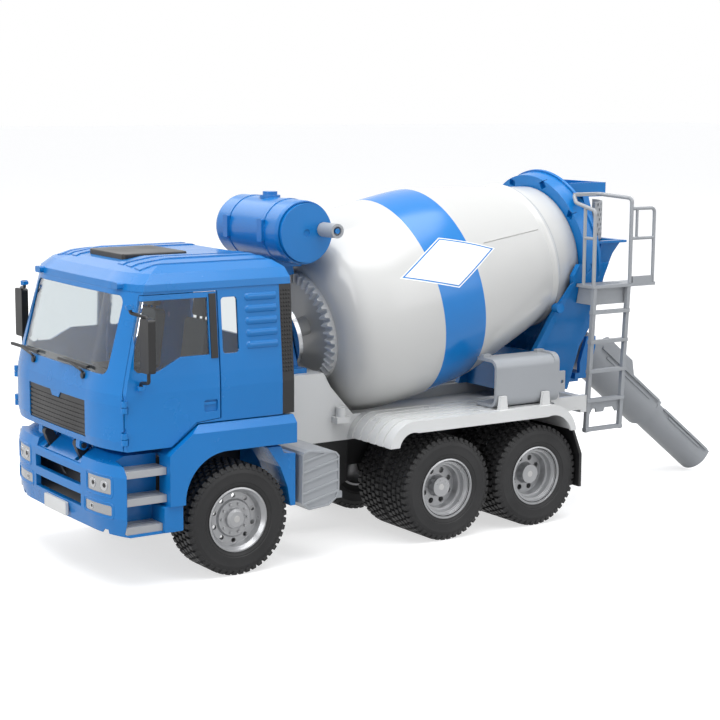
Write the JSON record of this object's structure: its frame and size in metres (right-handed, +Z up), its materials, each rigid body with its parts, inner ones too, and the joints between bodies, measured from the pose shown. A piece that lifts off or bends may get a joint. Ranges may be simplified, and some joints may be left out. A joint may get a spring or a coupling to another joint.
{
  "type": "toy cement mixer",
  "caption": "Toy cement mixer lorry with tilting cab, opening doors, crank-driven drum on crown gears, hopper, folding discharge chute, ladder platform and twin rear axles",
  "frame": {"origin": "on the floor under the middle of the lorry's overall length and width", "axes": "+X forward toward the cab, +Y to the left side, +Z up"},
  "size_m": [0.5228, 0.1848, 0.2273],
  "materials": {
    "blue_plastic": "glossy moulded mid blue",
    "blue_tank": "glossy moulded mid blue",
    "white_plastic": "satin white moulding",
    "drum_white": "satin off-white moulding with a blue band",
    "black_chassis": "satin black moulding",
    "black_trim": "satin black moulding",
    "grey_plastic": "satin mid grey moulding",
    "light_grey": "satin light grey moulding",
    "silver_plastic": "bright metallised",
    "tyre_rubber": "matt black tyre",
    "clear_window": "clear tinted window",
    "lamp": "silver lamp lens",
    "seat_grey": "dark grey moulding",
    "axle_steel": "bright drawn steel"
  },
  "bodies": {
    "chassis": {"chassis_frame": "black_chassis", "bumper_unit": "blue_plastic", "step_treads": "light_grey", "front_lamps": "lamp", "number_plate": "white_plastic", "wheelhouses": "blue_plastic", "subframe": "white_plastic", "mudguard_left": "white_plastic", "mudguard_right": "white_plastic", "pedestal": "blue_plastic", "bearing_flange": "silver_plastic", "water_tank": "blue_tank", "rear_ring": "blue_plastic", "rear_stand": "blue_plastic", "hopper": "blue_plastic", "feed_plate": "grey_plastic", "platform": "grey_plastic", "railings": "grey_plastic", "ladder": "grey_plastic", "spare_chute": "grey_plastic", "tool_box_left": "grey_plastic", "tool_box_right": "grey_plastic", "mudflaps": "black_trim", "tow_coupling": "black_chassis"},
    "front_wheels": {"front_axle": "axle_steel", "front_rims": "grey_plastic", "front_tyres": "tyre_rubber"},
    "rear_wheels_1": {"rear_axle_1": "axle_steel", "rear_rims_1": "grey_plastic", "rear_tyres_1": "tyre_rubber"},
    "rear_wheels_2": {"rear_axle_2": "axle_steel", "rear_rims_2": "grey_plastic", "rear_tyres_2": "tyre_rubber"},
    "cab": {"cab_shell": "blue_plastic", "roof_panel": "blue_plastic", "roof_hatch": "black_trim", "grille": "black_trim", "windscreen": "clear_window", "vent_strips": "black_trim", "quarter_windows": "clear_window", "seats": "seat_grey", "dashboard": "seat_grey", "steering_wheel": "seat_grey", "wipers": "black_trim"},
    "left_door": {"door_left": "blue_plastic", "door_glass_left": "clear_window", "door_trim_left": "black_trim"},
    "right_door": {"door_right": "blue_plastic", "door_glass_right": "clear_window", "door_trim_right": "black_trim"},
    "left_mirror": {"mirror_left": "black_trim"},
    "right_mirror": {"mirror_right": "black_trim"},
    "drum": {"drum_shell": "drum_white", "drum_gear": "white_plastic"},
    "drive_shaft": {"lay_shaft": "white_plastic"},
    "crank_wheel": {"crank": "blue_tank"},
    "knob": {"crank_knob": "grey_plastic"},
    "chute_turntable": {"chute_swivel": "blue_plastic"},
    "upper_chute": {"chute_upper": "grey_plastic"},
    "lower_chute": {"chute_lower": "grey_plastic"}
  },
  "joints": [
    {"name": "front_axle_roll", "type": "hinge", "parent": "chassis", "child": "front_wheels", "pos_m": [0.18, 0, 0.033], "axis": [0, 1, 0], "continuous": true},
    {"name": "rear_axle_1_roll", "type": "hinge", "parent": "chassis", "child": "rear_wheels_1", "pos_m": [0.0293, 0, 0.033], "axis": [0, 1, 0], "continuous": true},
    {"name": "rear_axle_2_roll", "type": "hinge", "parent": "chassis", "child": "rear_wheels_2", "pos_m": [-0.0424, 0, 0.033], "axis": [0, 1, 0], "continuous": true},
    {"name": "cab_tilt", "type": "hinge", "parent": "chassis", "child": "cab", "pos_m": [0.2554, 0, 0.077], "axis": [0, 1, 0], "range_deg": [0, 50]},
    {"name": "left_door_hinge", "type": "hinge", "parent": "cab", "child": "left_door", "pos_m": [0.2519, 0.0752, 0.09], "axis": [0, 0, -1], "range_deg": [0, 60]},
    {"name": "right_door_hinge", "type": "hinge", "parent": "cab", "child": "right_door", "pos_m": [0.2519, -0.0752, 0.09], "axis": [0, 0, 1], "range_deg": [0, 60]},
    {"name": "left_mirror_fold", "type": "hinge", "parent": "left_door", "child": "left_mirror", "pos_m": [0.2422, 0.0772, 0.116], "axis": [0.1013, -0.0837, 0.9913], "range_deg": [0, 60]},
    {"name": "right_mirror_fold", "type": "hinge", "parent": "right_door", "child": "right_mirror", "pos_m": [0.2422, -0.0772, 0.116], "axis": [-0.1013, -0.0837, -0.9913], "range_deg": [0, 60]},
    {"name": "drum_spin", "type": "hinge", "parent": "chassis", "child": "drum", "pos_m": [0.0273, 0, 0.1453], "axis": [-0.9763, 0, 0.2164], "continuous": true},
    {"name": "drive_shaft_spin", "type": "hinge", "parent": "chassis", "child": "drive_shaft", "pos_m": [0.09857, 0, 0.1295], "axis": [0.2164, 0, 0.9763], "continuous": true},
    {"name": "crank_spin", "type": "hinge", "parent": "chassis", "child": "crank_wheel", "pos_m": [0.113, 0, 0.1946], "axis": [0, 1, 0], "continuous": true},
    {"name": "knob_spin", "type": "hinge", "parent": "crank_wheel", "child": "knob", "pos_m": [0.1015, 0.045, 0.1964], "axis": [0, 1, 0], "continuous": true},
    {"name": "chute_swivel_turn", "type": "hinge", "parent": "chassis", "child": "chute_turntable", "pos_m": [-0.128, 0, 0.08], "axis": [0, 0, 1], "range_deg": [-45, 45]},
    {"name": "chute_tilt", "type": "hinge", "parent": "chute_turntable", "child": "upper_chute", "pos_m": [-0.136, 0, 0.107], "axis": [0, 1, 0], "range_deg": [0, 15]},
    {"name": "chute_fold", "type": "hinge", "parent": "upper_chute", "child": "lower_chute", "pos_m": [-0.20219, 0, 0.05528], "axis": [0, 1, 0], "range_deg": [0, 120]}
  ],
  "couplings": [
    {"joint": "drive_shaft_spin", "follows": "drum_spin", "ratio": -5},
    {"joint": "crank_spin", "follows": "drum_spin", "ratio": -2.5}
  ]
}
